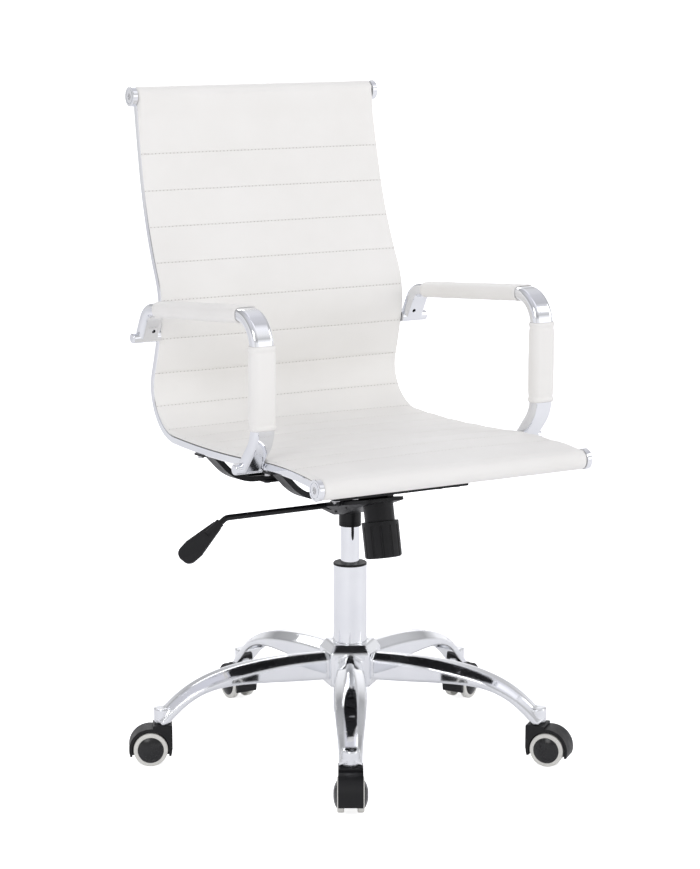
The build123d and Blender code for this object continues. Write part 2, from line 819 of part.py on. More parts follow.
screw_r = 5.0
screw_deep = 3.0
cap_spots = [flat(rail_top), flat((front_bar_y, front_bar_z))]
with BuildPart() as end_caps:
    for side in (1, -1):
        outer = leaning_plane(side, frame_half)
        with BuildSketch(outer.offset(side * 0.05)):
            with Locations(*cap_spots):
                Circle(cap_r)
        extrude(amount=side * cap_thick)
    chamfer(end_caps.edges().filter_by(GeomType.CIRCLE), 0.8)
    for side in (1, -1):
        outer = leaning_plane(side, frame_half)
        with BuildSketch(outer.offset(side * (cap_thick - 0.9))):
            with Locations(*cap_spots):
                Circle(cap_r - 3.6)
                Circle(cap_r - 4.6, mode=Mode.SUBTRACT)
        extrude(amount=side * 3.0, mode=Mode.SUBTRACT)
        with BuildSketch(outer.offset(side * (cap_thick - screw_deep))):
            with Locations(*cap_spots):
                Circle(screw_r)
        extrude(amount=side * 6.0, mode=Mode.SUBTRACT)
finish(end_caps, "end_caps")

with BuildPart() as cap_screws:
    for side in (1, -1):
        outer = leaning_plane(side, frame_half)
        with BuildSketch(outer.offset(side * (cap_thick - screw_deep))):
            with Locations(*cap_spots):
                Circle(screw_r - 0.05)
        extrude(amount=side * (screw_deep - 0.5))
        with BuildSketch(outer.offset(side * (cap_thick - 1.7))):
            with Locations(*cap_spots):
                with PolarLocations(2.4, 2, 20):
                    Circle(0.8)
        extrude(amount=side * 4.0, mode=Mode.SUBTRACT)
finish(cap_screws, "cap_screws")


# ---------------------------------------------------------------- armrests
arm_points = [(204.0, 611.0), (180.0, 654.0), (-157.0, 684.8), (-157.0, 512.0), (-120.0, 470.0)]
arm_radii = [34.0, 44.0, 48.0]
arm_corner = 7.5
arm_end = 3.0               # solid length at each end of an armrest tube
back_stub = (203.0, 609.0)
seat_stub = (-120.0, 467.5)
drain_r = 2.8


def unit(start, end):
    """Unit vector (y, z) from start to end."""
    span = math.hypot(end[0] - start[0], end[1] - start[1])
    return ((end[0] - start[0]) / span, (end[1] - start[1]) / span)


def moved(start, end, distance):
    way = unit(start, end)
    return (start[0] + way[0] * distance, start[1] + way[1] * distance)


def arm_sweep(side, points, shrink):
    """Flat-oval bar along a filleted path in the armrest's plane."""
    corners = []
    for before, corner, after, radius in zip(points, points[1:], points[2:], arm_radii):
        way_in = unit(before, corner)
        way_out = unit(corner, after)
        turn = math.acos(way_in[0] * way_out[0] + way_in[1] * way_out[1])
        reach = radius * math.tan(turn / 2)
        into = unit(corner, before)
        out = unit(corner, after)
        half_way = unit((0, 0), (into[0] + out[0], into[1] + out[1]))
        hub = radius / math.cos(turn / 2)
        middle = (corner[0] + half_way[0] * (hub - radius), corner[1] + half_way[1] * (hub - radius))
        corners.append((moved(corner, before, reach), middle, moved(corner, after, reach)))
    with BuildPart() as bar:
        with BuildLine(Plane.YZ.offset(side * arm_plane)) as path:
            here = points[0]
            for begin, middle, end in corners:
                Line(here, begin)
                ThreePointArc(begin, middle, end)
                here = end
            Line(here, points[-1])
        with BuildSketch(Plane(origin=path.line @ 0, x_dir=(1, 0, 0), z_dir=path.line % 0)):
            RectangleRounded(arm_wide - 2 * shrink, arm_thick - 2 * shrink, arm_corner - shrink)
        sweep()
    return bar.part


def armrest(side):
    inner_start = moved(arm_points[0], arm_points[1], arm_end)
    inner_end = moved(arm_points[-1], arm_points[-2], arm_end)
    with BuildPart() as arm:
        add(arm_sweep(side, arm_points, 0.0))
        add(arm_sweep(side, [inner_start, *arm_points[1:-1], inner_end], arm_wall), mode=Mode.SUBTRACT)
        for spot, gap in ((back_stub, 0.3), (seat_stub, 0.3)):
            rail_face = frame_half - (spot[1] - frame_level) * math.tan(math.radians(rail_lean))
            with BuildSketch(Plane.YZ.offset(side * (rail_face + gap))):
                with Locations(spot):
                    Circle(stub_r)
            extrude(amount=side * (stub_end - rail_face - gap))
        tips = arm.faces().sort_by(Axis.X)[-2:] if side > 0 else arm.faces().sort_by(Axis.X)[:2]
        fillet(tips.edges(), 3.0)
        with BuildSketch(Plane.XZ.offset(-205.0)):
            with Locations((side * (arm_plane - 4.0), 619.0)):
                Circle(drain_r)
        extrude(amount=30.0, mode=Mode.SUBTRACT)
    return arm


finish(armrest(1), "arm_left")
finish(armrest(-1), "arm_right")

sleeve_gap = 0.1
top_sleeve_back = 146.0
top_sleeve_front = -109.0
front_sleeve_top = 641.0
front_sleeve_low = 532.0


def sleeve(side, start, end):
    """Leather tube round a straight length of an armrest."""
    way = unit(start, end)
    plane = Plane(origin=(side * arm_plane, *start), x_dir=(1, 0, 0), z_dir=(0, *way))
    inner_wide = arm_wide + 2 * sleeve_gap
    inner_thick = arm_thick + 2 * sleeve_gap
    with BuildPart() as tube:
        with BuildSketch(plane):
            RectangleRounded(
                inner_wide + 2 * sleeve_thick, inner_thick + 2 * sleeve_thick, arm_corner + sleeve_thick
            )
            RectangleRounded(inner_wide, inner_thick, arm_corner + sleeve_gap, mode=Mode.SUBTRACT)
        extrude(amount=math.hypot(end[0] - start[0], end[1] - start[1]))
    return tube


def on_top(y):
    """Point of an armrest's straight top at a given Y."""
    rise = (arm_points[2][1] - arm_points[1][1]) / (arm_points[2][0] - arm_points[1][0])
    return (y, arm_points[1][1] + (y - arm_points[1][0]) * rise)


for side, hand in ((1, "left"), (-1, "right")):
    finish(sleeve(side, on_top(top_sleeve_back), on_top(top_sleeve_front)), f"arm_top_sleeve_{hand}")
    front_line = arm_points[2][0]
    upper = (front_line, front_sleeve_top)
    lower = (front_line, front_sleeve_low)
    finish(sleeve(side, upper, lower), f"arm_front_sleeve_{hand}")


# ---------------------------------------------------------------- sling and fasteners
with BuildPart() as sling:
    with BuildSketch(Plane(origin=(-240, 0, frame_level), x_dir=(0, 1, 0), z_dir=(1, 0, 0))):
        with BuildLine():
            rail_band(-sling_back, sling_front)
        make_face()
        with Locations(*cap_spots):
            Circle(roll_r)
        with Locations(*cap_spots):
            Circle(roll_bar_r + soft_gap, mode=Mode.SUBTRACT)
    extrude(amount=480)
    over_rail = rail_deep / 2 + soft_gap
    for side in (1, -1):
        with BuildSketch(leaning_plane(side, frame_half - soft_gap)):
            Rectangle(1300, 1300)
        extrude(amount=side * 60.0, mode=Mode.SUBTRACT)
        with BuildSketch(leaning_plane(side, frame_half - rail_wide - soft_gap)):
            with BuildLine():
                rail_band(-over_rail, over_rail)
            make_face()
        extrude(amount=side * 30.0, mode=Mode.SUBTRACT)
finish(sling, "sling")

with BuildPart() as frame_bolts:
    under_plate = -bow_low - plate_gap - plate_thick
    for along in (front_spreader_y, rear_spreader_y):
        with BuildSketch(carrier.offset(under_plate)):
            with Locations(*[(x, along) for x in bolt_x]):
                Circle(dome_r)
        extrude(amount=-3.5)
    chamfer(frame_bolts.edges().group_by(Axis.Z)[0], 1.5)
    for along in (front_spreader_y, rear_spreader_y):
        with BuildSketch(carrier.offset(under_plate)):
            with Locations(*[(x, along) for x in bolt_x]):
                Circle(bolt_r)
        extrude(amount=plate_thick + plate_gap + bow_web + 3.0)
        tab_under = -rail_deep / 2 - tab_gap - bow_web
        with BuildSketch(carrier.offset(tab_under)):
            with Locations((tab_bolt_x, along), (-tab_bolt_x, along)):
                Circle(4.2)
        extrude(amount=-3.0)
        with BuildSketch(carrier.offset(tab_under)):
            with Locations((tab_bolt_x, along), (-tab_bolt_x, along)):
                Circle(bolt_r - 0.5)
        extrude(amount=bow_web + tab_gap + 6.0)
finish(frame_bolts, "frame_bolts")
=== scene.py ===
import json
import math

import bmesh
import bpy
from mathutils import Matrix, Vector, noise


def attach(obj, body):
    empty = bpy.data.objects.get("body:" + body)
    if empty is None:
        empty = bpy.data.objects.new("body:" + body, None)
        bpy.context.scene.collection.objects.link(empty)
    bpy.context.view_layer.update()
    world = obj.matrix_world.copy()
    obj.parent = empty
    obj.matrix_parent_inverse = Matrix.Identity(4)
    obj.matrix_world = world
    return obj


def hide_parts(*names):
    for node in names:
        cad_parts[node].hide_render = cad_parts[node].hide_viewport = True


# High-back ribbed leather swivel chair. Metres, +Z up, the chair faces -Y.
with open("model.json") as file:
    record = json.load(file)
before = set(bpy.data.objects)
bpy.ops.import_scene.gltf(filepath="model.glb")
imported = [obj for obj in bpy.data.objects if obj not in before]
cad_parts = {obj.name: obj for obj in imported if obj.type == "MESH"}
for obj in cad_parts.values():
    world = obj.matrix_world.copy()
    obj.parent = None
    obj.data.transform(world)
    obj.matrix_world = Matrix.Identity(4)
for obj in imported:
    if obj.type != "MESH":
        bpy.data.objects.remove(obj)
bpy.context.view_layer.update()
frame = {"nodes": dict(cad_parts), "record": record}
nodes = frame["nodes"]


# ---------------------------------------------------------------- dimensions
TOP_BAR = (291.6, 958.6)    # (y, z) of the top bar's middle, in mm
TOP_HEADING = 10.0          # degrees from straight down towards the front
# The bends of the side rails, from the top bar down: (radius in mm, turn in degrees).
BENDS = (
    (2520.0, 2.7), (614.0, 14.7), (109.2, -40.5), (797.0, -5.3),
    (54.5, 30.3), (76.4, 76.6), (2323.0, 6.5), (839.6, -12.1),
)
SEAT_BEND = 5               # the bend where the back ends and the seat begins
RAIL_LEAN = math.tan(math.radians(1.16))
SEAT_LEVEL = 0.465
SLING_EDGE = 0.2037         # half width between the rails, at the seat's level
OVERLAP = 0.0087            # leather lying on the front of each rail
OVER_RAIL = 0.00635         # its underside, over the rail's centre line
BACK_FACE = -0.003          # rear surface, from the rail's centre line
ROLL_R = 0.0144             # leather over the top and front bars
ROLL_STEPS = 22
LIP = 0.0040                # rounded edge of the leather
REAR_BLACK_START = 0.09         # the rear surface is black from this far past the start of the bend between back and seat
RIB_PITCH = 0.0560          # between two sewn channels of the sling
RIB_START = 0.0875          # from the top bar to the first channel
RIB_END = 0.03              # no channel nearer to the front bar
GROOVE_HALF = 0.0022
STITCH_WIDE = 0.0009
STITCH_LONG = 0.0060

ARM_X = 0.230               # middle plane of each armrest
ARM_FRONT = -0.157          # y of its front leg
ARM_BACK = (0.180, 0.654)   # (y, z) at the rear end of its top
ARM_TOP = (ARM_FRONT, 0.6848)
TOP_SLEEVE = (0.149, -0.112)
FRONT_SLEEVE = (0.6435, 0.526)
TUBE_SIZE = (0.0343, 0.0193, 0.0076)    # inside of a sleeve: width, thickness, corner
SLEEVE_SIZE = (0.0372, 0.0222, 0.0092)  # outside of a sleeve


# ---------------------------------------------------------------- materials
def new_material(name):
    mat = bpy.data.materials.new(name)
    mat.use_nodes = True
    tree = mat.node_tree
    return mat, tree, tree.nodes["Principled BSDF"]


def add_node(tree, kind, **values):
    node = tree.nodes.new(kind)
    for key, value in values.items():
        socket = node.inputs.get(key.replace("_", " "))
        if socket is not None:
            socket.default_value = value
        else:
            setattr(node, key, value)
    return node


def noise_node(tree, scale, detail=3.0, rough=0.55, stretch=(1.0, 1.0, 1.0)):
    coords = add_node(tree, "ShaderNodeTexCoord")
    mapping = add_node(tree, "ShaderNodeMapping")
    mapping.inputs["Scale"].default_value = stretch
    tree.links.new(coords.outputs["Object"], mapping.inputs["Vector"])
    node = add_node(tree, "ShaderNodeTexNoise", Scale=scale, Detail=detail, Roughness=rough)
    tree.links.new(mapping.outputs["Vector"], node.inputs["Vector"])
    return node


def ramp(tree, source, low, high, start=0.3, stop=0.7):
    node = add_node(tree, "ShaderNodeValToRGB")
    node.color_ramp.elements[0].position = start
    node.color_ramp.elements[1].position = stop
    node.color_ramp.elements[0].color = (*low, 1.0) if len(low) == 3 else (low[0],) * 3 + (1.0,)
    node.color_ramp.elements[1].color = (*high, 1.0) if len(high) == 3 else (high[0],) * 3 + (1.0,)
    tree.links.new(source, node.inputs["Fac"])
    return node


def vary_colour(tree, bsdf, scale, low, high):
    node = ramp(tree, noise_node(tree, scale).outputs["Fac"], low, high)
    tree.links.new(node.outputs["Color"], bsdf.inputs["Base Color"])


def vary_roughness(tree, bsdf, scale, low, high):
    node = ramp(tree, noise_node(tree, scale).outputs["Fac"], (low,), (high,))
    tree.links.new(node.outputs["Color"], bsdf.inputs["Roughness"])


def bump_chain(tree, bsdf, heights):
    """Adds one bump per (height socket, strength, distance), one after the other."""
    last = None
    for height, strength, distance in heights:
        node = add_node(tree, "ShaderNodeBump", Strength=strength, Distance=distance)
        tree.links.new(height, node.inputs["Height"])
        if last is not None:
            tree.links.new(last.outputs["Normal"], node.inputs["Normal"])
        last = node
    tree.links.new(last.outputs["Normal"], bsdf.inputs["Normal"])


def first_bump(bsdf):
    """The bump at the far end of a shader's chain of bumps."""
    node = bsdf.inputs["Normal"].links[0].from_node
    while node.inputs["Normal"].is_linked:
        node = node.inputs["Normal"].links[0].from_node
    return node


def stitch_heights(tree):
    """Mask of the stitches along each sewn channel, and of the holes between them that get painted shade,
    from the sling's own sewing layer.
    """
    layer = add_node(tree, "ShaderNodeAttribute", attribute_name="sewing")
    split = add_node(tree, "ShaderNodeSeparateXYZ")
    tree.links.new(layer.outputs["Vector"], split.inputs["Vector"])
    fold = add_node(tree, "ShaderNodeMath", operation="PINGPONG")
    fold.inputs[1].default_value = 0.5
    tree.links.new(split.outputs["Y"], fold.inputs[0])
    line = add_node(tree, "ShaderNodeMapRange")
    line.inputs["From Min"].default_value = STITCH_WIDE / RIB_PITCH
    line.inputs["From Max"].default_value = 0.4 * STITCH_WIDE / RIB_PITCH
    tree.links.new(fold.outputs["Value"], line.inputs["Value"])
    dash = add_node(tree, "ShaderNodeMath", operation="PINGPONG")
    dash.inputs[1].default_value = STITCH_LONG / 2
    tree.links.new(split.outputs["X"], dash.inputs[0])
    gap = add_node(tree, "ShaderNodeMapRange")
    gap.inputs["From Min"].default_value = 0.10 * STITCH_LONG
    gap.inputs["From Max"].default_value = 0.18 * STITCH_LONG
    tree.links.new(dash.outputs["Value"], gap.inputs["Value"])
    both = add_node(tree, "ShaderNodeMath", operation="MULTIPLY")
    tree.links.new(line.outputs["Result"], both.inputs[0])
    tree.links.new(gap.outputs["Result"], both.inputs[1])
    # Mask of the stitch holes on the seam line, where shade is painted into the colour.
    hole_shade_mask = add_node(tree, "ShaderNodeMath", operation="SUBTRACT")
    tree.links.new(line.outputs["Result"], hole_shade_mask.inputs[0])
    tree.links.new(both.outputs["Value"], hole_shade_mask.inputs[1])
    return both.outputs["Value"], hole_shade_mask.outputs["Value"]


def leather_material(name, sewn):
    mat, tree, bsdf = new_material(name)
    vary_colour(tree, bsdf, 9.0, (0.872, 0.858, 0.826), (0.902, 0.889, 0.860))
    vary_roughness(tree, bsdf, 60.0, 0.44, 0.56)
    coords = add_node(tree, "ShaderNodeTexCoord")
    pebble = add_node(tree, "ShaderNodeTexVoronoi", Scale=620.0, feature="DISTANCE_TO_EDGE")
    tree.links.new(coords.outputs["Object"], pebble.inputs["Vector"])
    crease = ramp(tree, pebble.outputs["Distance"], (0.0,), (1.0,), 0.0, 0.16)
    fine = noise_node(tree, 1500.0, 4.0)
    broad = noise_node(tree, 38.0, 2.0)
    heights = [
        (crease.outputs["Color"], 0.34, 0.00016),
        (fine.outputs["Fac"], 0.22, 0.00012),
        (broad.outputs["Fac"], 0.20, 0.0008),
    ]
    if sewn:
        stitch, hole_shade_mask = stitch_heights(tree)
        heights.append((stitch, 0.9, 0.0006))
        # Painted shade: the colour is darkened in the stitch holes, as shade in these recesses.
        painted_hole_shade = add_node(tree, "ShaderNodeMixRGB", blend_type="MULTIPLY")
        painted_hole_shade.inputs["Color2"].default_value = (0.66, 0.64, 0.61, 1)
        plain = bsdf.inputs["Base Color"].links[0].from_socket
        tree.links.new(hole_shade_mask, painted_hole_shade.inputs["Fac"])
        tree.links.new(plain, painted_hole_shade.inputs["Color1"])
        tree.links.new(painted_hole_shade.outputs["Color"], bsdf.inputs["Base Color"])
    bump_chain(tree, bsdf, heights)
    bsdf.inputs["Specular IOR Level"].default_value = 0.42
    bsdf.inputs["Sheen Weight"].default_value = 0.06
    bsdf.inputs["Sheen Roughness"].default_value = 0.45
    return mat


def metal_material(name, low, high, rough_low, rough_high, scale=14.0, grain=0.0, edge=0.0):
    """Polished or brushed metal; edge is the radius to which its shading rounds the edges."""
    mat, tree, bsdf = new_material(name)
    vary_colour(tree, bsdf, scale, low, high)
    vary_roughness(tree, bsdf, scale * 3.0, rough_low, rough_high)
    bsdf.inputs["Metallic"].default_value = 1.0
    orange_peel = noise_node(tree, 160.0, 2.0)
    heights = [(orange_peel.outputs["Fac"], 0.05, 0.00005)]
    if grain:
        lines = noise_node(tree, 900.0, 3.0, stretch=(1.0, 1.0, 0.04))
        heights.append((lines.outputs["Fac"], grain, 0.0001))
    bump_chain(tree, bsdf, heights)
    if edge:
        soft = add_node(tree, "ShaderNodeBevel", Radius=edge)
        soft.samples = 8
        tree.links.new(soft.outputs["Normal"], first_bump(bsdf).inputs["Normal"])
    return mat


def plastic_material(name, low, high, rough_low, rough_high, texture, depth, coat=0.0):
    mat, tree, bsdf = new_material(name)
    vary_colour(tree, bsdf, 22.0, low, high)
    vary_roughness(tree, bsdf, 90.0, rough_low, rough_high)
    pebble = noise_node(tree, texture, 3.0)
    bump_chain(tree, bsdf, [(pebble.outputs["Fac"], depth, 0.0002)])
    bsdf.inputs["Specular IOR Level"].default_value = 0.28
    bsdf.inputs["Coat Weight"].default_value = coat
    bsdf.inputs["Coat Roughness"].default_value = 0.12
    return mat


leather = leather_material("leather_white", False)
sewn_leather = leather_material("leather_white_sewn", True)
# Black for the sling's rear surface under the seat.
rear_black = plastic_material(
    "rear_surface_black", (0.012, 0.012, 0.013), (0.020, 0.020, 0.022), 0.78, 0.92, 1800.0, 0.8)
CHROME = ((0.80, 0.81, 0.84), (0.86, 0.87, 0.89), 0.035, 0.075)
chrome = metal_material("chrome_plate", *CHROME)
cast_chrome = metal_material("chrome_casting", *CHROME, edge=0.0065)
steel = metal_material(
    "zinc_steel", (0.50, 0.50, 0.51), (0.62, 0.62, 0.63), 0.22, 0.36, 30.0, grain=0.12)
black_steel = plastic_material(
    "black_powder_coat", (0.006, 0.006, 0.007), (0.011, 0.011, 0.012), 0.32, 0.44, 520.0, 0.30)
black_plastic = plastic_material(
    "black_moulded_plastic", (0.007, 0.007, 0.008), (0.012, 0.012, 0.013), 0.36, 0.50, 900.0, 0.35)
gloss_black = plastic_material(
    "gloss_black_plastic", (0.010, 0.010, 0.011), (0.016, 0.016, 0.017), 0.20, 0.30, 300.0, 0.08, 0.3)
tyre_white = plastic_material(
    "white_tread", (0.70, 0.69, 0.65), (0.78, 0.77, 0.73), 0.45, 0.6, 700.0, 0.2)

PAINT = {
    "leather": leather, "chrome": chrome, "steel": steel, "black_steel": black_steel,
    "black_plastic": black_plastic, "gloss_black": gloss_black, "tyre_white": tyre_white,
}
for entry in frame["record"]["subparts"]:
    paint = cast_chrome if entry["node"] == "star_base" else PAINT[entry["material_slot"]]
    materials = nodes[entry["node"]].data.materials
    materials.clear()
    materials.append(paint)


# ---------------------------------------------------------------- side profile of the sling
def towards_sitter(heading):
    """Unit (y, z) square to the rail, out of the sitting surface."""
    return (-math.cos(math.radians(heading)), math.sin(math.radians(heading)))


def bend_table():
    """Start point, heading, radius, turn, start distance and length of every bend, in mm."""
    y, z = TOP_BAR
    heading = TOP_HEADING
    travelled = 0.0
    table = []
    for radius, turn in BENDS:
        length = radius * abs(math.radians(turn))
        table.append((y, z, heading, radius, turn, travelled, length))
        swing = math.copysign(radius, turn)
        begin = towards_sitter(heading)
        end = towards_sitter(heading + turn)
        y += swing * (begin[0] - end[0])
        z += swing * (begin[1] - end[1])
        heading += turn
        travelled += length
    return table


TABLE = bend_table()
LENGTH = (TABLE[-1][5] + TABLE[-1][6]) / 1000
BACK_LENGTH = TABLE[SEAT_BEND][5] / 1000
rib_count = int((LENGTH - RIB_START - RIB_END) / RIB_PITCH) + 1
RIBS = [RIB_START + k * RIB_PITCH for k in range(rib_count)]


def line_point(s):
    """Point (y, z, heading, distance) on the rail's centre line, in metres."""
    y, z, heading, radius, turn, start, length = max(
        (bend for bend in TABLE if bend[5] <= s * 1000 + 1e-6), key=lambda bend: bend[5])
    now = heading + turn * (s * 1000 - start) / length
    swing = math.copysign(radius, turn)
    begin = towards_sitter(heading)
    way = towards_sitter(now)
    return (
        (y + swing * (begin[0] - way[0])) / 1000,
        (z + swing * (begin[1] - way[1])) / 1000,
        now,
        s,
    )


def line_samples():
    """Distances along the sling, closer together at each sewn channel."""
    steps = round(LENGTH / 0.004)
    offsets = (-0.0036, -0.0022, -0.0011, 0.0, 0.0011, 0.0022, 0.0036)
    near = [rib + offset for rib in RIBS for offset in offsets]
    regular = [LENGTH * k / steps for k in range(steps + 1)]
    return sorted(near + [s for s in regular if min(abs(s - rib) for rib in RIBS) > 0.005])


LINE = [line_point(s) for s in line_samples()]


def smooth(t):
    t = min(1.0, max(0.0, t))
    return t * t * (3 - 2 * t)


def rib_share(s):
    """0 at a sewn channel, 1 halfway between two."""
    return abs(math.sin(math.pi * (s - RIB_START) / RIB_PITCH))


def rib_depth(s):
    """How far the sewn channel pulls the leather in, from 0 to 1."""
    nearest = min(abs(s - rib) for rib in RIBS)
    return math.exp(-((nearest / GROOVE_HALF) ** 2))


def half_width(z):
    """Half width between the rails at a height."""
    return SLING_EDGE - (z - SEAT_LEVEL) * RAIL_LEAN


def rounding(inset):
    """How far the leather's edge has turned over, from 0 inside the lip to 1 at the edge."""
    share = 1 - min(inset, LIP) / LIP
    return 1 - math.sqrt(max(0.0, 1 - share * share))


def sheet_height(s, across, half):
    """Height of the sitting surface over the rail's centre line."""
    on_seat = smooth((s - BACK_LENGTH) / 0.10)
    base = 0.0072 + 0.0036 * on_seat
    to_top = 1 - smooth(s / 0.05)
    to_front = 1 - smooth((LENGTH - s) / 0.09)
    base += (ROLL_R - base) * max(to_top, to_front)
    side = 1 - (across / (half + OVERLAP)) ** 2
    base += (0.0012 + 0.0016 * on_seat) * side
    base += 0.0007 * (rib_share(s) - 0.6) * smooth(min(s, LENGTH - s) / 0.05)
    base -= (0.0003 + 0.0005 * smooth((s - 0.33) / 0.1)) * rib_depth(s)
    spot = Vector((across * 9.0, s * 16.0, 0.7))
    base += 0.0007 * noise.noise(spot)
    base += 0.00035 * noise.noise(Vector((across * 26.0, s * 70.0, 3.1)))
    return base - (base - OVER_RAIL) * 0.9 * rounding(half + OVERLAP - abs(across))


def columns(half_count, half):
    """Positions across the sling, closer together near its edges."""
    shares = [k / half_count for k in range(-half_count, half_count + 1)]
    return [half * (0.55 * math.sin(math.pi / 2 * share) + 0.45 * share) for share in shares]


def sling_columns():
    """(share of the width between the rails, distance beyond it, whether it lies on a rail)."""
    between = [(u, 0.0, False) for u in columns(30, 1.0)]
    beyond = [0.0, 0.0016, 0.0032, 0.0047, 0.0060, 0.0071, 0.0079, 0.0084, OVERLAP]
    left = [(-1.0, -extra, True) for extra in reversed(beyond)]
    right = [(1.0, extra, True) for extra in beyond]
    return left + between + right


def build_sling():
    mesh = bmesh.new()
    sewing = mesh.verts.layers.float_vector.new("sewing")
    rows = []
    for u, beyond, on_rail in sling_columns():
        ring = []
        rear_black_spots = set()
        # The top roll runs from the rear surface over the bar to the sitting surface.
        for which in ("top", "sheet", "front", "rear"):
            if which == "sheet":
                for y, z, heading, s in LINE:
                    half = half_width(z)
                    across = u * half + beyond
                    lift = sheet_height(s, across, half)
                    way = towards_sitter(heading)
                    ring.append((across, y + way[0] * lift, z + way[1] * lift, s))
            elif which == "rear":
                for y, z, heading, s in reversed(LINE):
                    if s < ROLL_R * 1.05 or s > LENGTH - ROLL_R * 1.05:
                        continue
                    half = half_width(z)
                    way = towards_sitter(heading)
                    low = OVER_RAIL if on_rail else BACK_FACE + 0.0005 * rib_depth(s)
                    # The rear surface under the seat gets the black material.
                    if s > BACK_LENGTH + REAR_BLACK_START:
                        rear_black_spots.add(len(ring))
                    ring.append((u * half + beyond, y + way[0] * low, z + way[1] * low, s))
            else:
                top = which == "top"
                y, z, heading, s = LINE[0] if top else LINE[-1]
                half = half_width(z)
                way = towards_sitter(heading)
                out = (way[1], -way[0]) if top else (-way[1], way[0])
                radius = ROLL_R + 0.00025 * noise.noise(Vector((u * 4.0, s, 5.0)))
                radius -= 0.0022 * rounding(OVERLAP - abs(beyond))
                arc = []
                for k in range(1, ROLL_STEPS):
                    angle = math.radians(90 - 192 * k / ROLL_STEPS)
                    arc.append((
                        u * half + beyond,
                        y + radius * (way[0] * math.sin(angle) + out[0] * math.cos(angle)),
                        z + radius * (way[1] * math.sin(angle) + out[1] * math.cos(angle)),
                        s,
                    ))
                ring.extend(reversed(arc) if top else arc)
        row = []
        for x, y, z, s in ring:
            vert = mesh.verts.new((x, y, z))
            seam = min(rib_count - 0.5, max(-0.5, (s - RIB_START) / RIB_PITCH))
            vert[sewing] = (x, seam, 0.0)
            row.append(vert)
        rows.append(row)
    size = len(rows[0])
    skip = sum(1 for point in LINE if point[3] < ROLL_R * 1.05)
    tail = sum(1 for point in LINE if point[3] > LENGTH - ROLL_R * 1.05)
    first = ROLL_STEPS - 1
    last = first + len(LINE) - 1
    for left, right in zip(rows, rows[1:]):
        for k in range(size):
            nxt = (k + 1) % size
            face = mesh.faces.new((left[k], left[nxt], right[nxt], right[k]))
            face.material_index = int(k in rear_black_spots)
    for row in (rows[0], rows[-1]):
        # Each edge is closed by a strip between its two surfaces and a disc in each roll.
        for k in range(first + skip, last - tail):
            opposite = size - 1 - (k - first - skip)
            mesh.faces.new((row[k], row[k + 1], row[opposite - 1], row[opposite]))
        mesh.faces.new(row[:first + skip + 1] + [row[size - 1]])
        mesh.faces.new(row[last - tail:size - len(LINE) + skip + tail + 1])
    bmesh.ops.remove_doubles(mesh, verts=mesh.verts, dist=0.000002)
    bmesh.ops.recalc_face_normals(mesh, faces=mesh.faces)
    bmesh.ops.triangulate(mesh, faces=[face for face in mesh.faces if len(face.verts) > 4])
    piece = finish_mesh(mesh, "sling_leather", sewn_leather)
    # Second slot: black for the rear surface under the seat.
    piece.data.materials.append(rear_black)
    return piece


def finish_mesh(mesh, name, material, flat=False):
    data = bpy.data.meshes.new(name)
    mesh.to_mesh(data)
    mesh.free()
    piece = bpy.data.objects.new(name, data)
    bpy.context.scene.collection.objects.link(piece)
    data.materials.append(material)
    for face in data.polygons:
        face.use_smooth = not flat
    return piece


sling = build_sling()
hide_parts("sling")
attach(sling, "seat")


# ---------------------------------------------------------------- armrest sleeves
def sleeve_ring(centre, along, wide, thick, corner, count=36):
    """Rounded rectangle square to a direction in the armrest's plane."""
    up = Vector((0.0, -along[2], along[1]))
    across = Vector((1.0, 0.0, 0.0))
    ring = []
    half_w, half_t = wide / 2, thick / 2
    corner = min(corner, half_t - 0.0005)
    for quarter, (sx, sy) in enumerate(((1, 1), (-1, 1), (-1, -1), (1, -1))):
        steps = count // 4
        for k in range(steps):
            angle = math.pi / 2 * (quarter + k / (steps - 1))
            x = sx * (half_w - corner) + corner * math.cos(angle)
            y = sy * (half_t - corner) + corner * math.sin(angle)
            ring.append(centre + across * x + up * y)
    return ring


def build_sleeve(name, node, start, end, seed):
    along = (end - start).normalized()
    length = (end - start).length
    mesh = bmesh.new()
    stations = []
    steps = 64
    for k in range(steps + 1):
        share = k / steps
        at = start + along * (length * share)
        near_end = min(share, 1 - share) * length
        swell = 0.0007 * smooth(near_end / 0.03)
        cuff = 0.0010 * math.exp(-(((near_end - 0.0035) / 0.0025) ** 2))
        pinch = 0.0006 * math.exp(-(((near_end - 0.0085) / 0.0018) ** 2))
        grow = swell + cuff - pinch
        if near_end < 0.002:
            grow -= 0.0009 * (1 - near_end / 0.002)
        stations.append((at, grow))
    rings = [sleeve_ring(start + along * 0.0006, along, *TUBE_SIZE)]
    for at, grow in stations:
        wide, thick, corner = SLEEVE_SIZE
        ring = sleeve_ring(at, along, wide + 2 * grow, thick + 2 * grow, corner + grow)
        shaped = []
        for point in ring:
            out = (point - at).normalized()
            fold = 0.0004 * noise.noise(Vector((point.x * 60, point.y * 40 + seed, point.z * 40)))
            shaped.append(point + out * fold)
        rings.append(shaped)
    rings.append(sleeve_ring(end - along * 0.0006, along, *TUBE_SIZE))
    rows = [[mesh.verts.new(point) for point in ring] for ring in rings]
    size = len(rows[0])
    for low, high in zip(rows, rows[1:] + rows[:1]):
        for k in range(size):
            nxt = (k + 1) % size
            mesh.faces.new((low[k], low[nxt], high[nxt], high[k]))
    bmesh.ops.remove_doubles(mesh, verts=mesh.verts, dist=0.00001)
    bmesh.ops.recalc_face_normals(mesh, faces=mesh.faces)
    piece = finish_mesh(mesh, name, leather)
    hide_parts(node)
    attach(piece, "seat")


def top_point(side, y):
    """Point on the middle line of an armrest's top."""
    (y0, z0), (y1, z1) = ARM_BACK, ARM_TOP
    return Vector((side * ARM_X, y, z0 + (y - y0) * (z1 - z0) / (y1 - y0)))


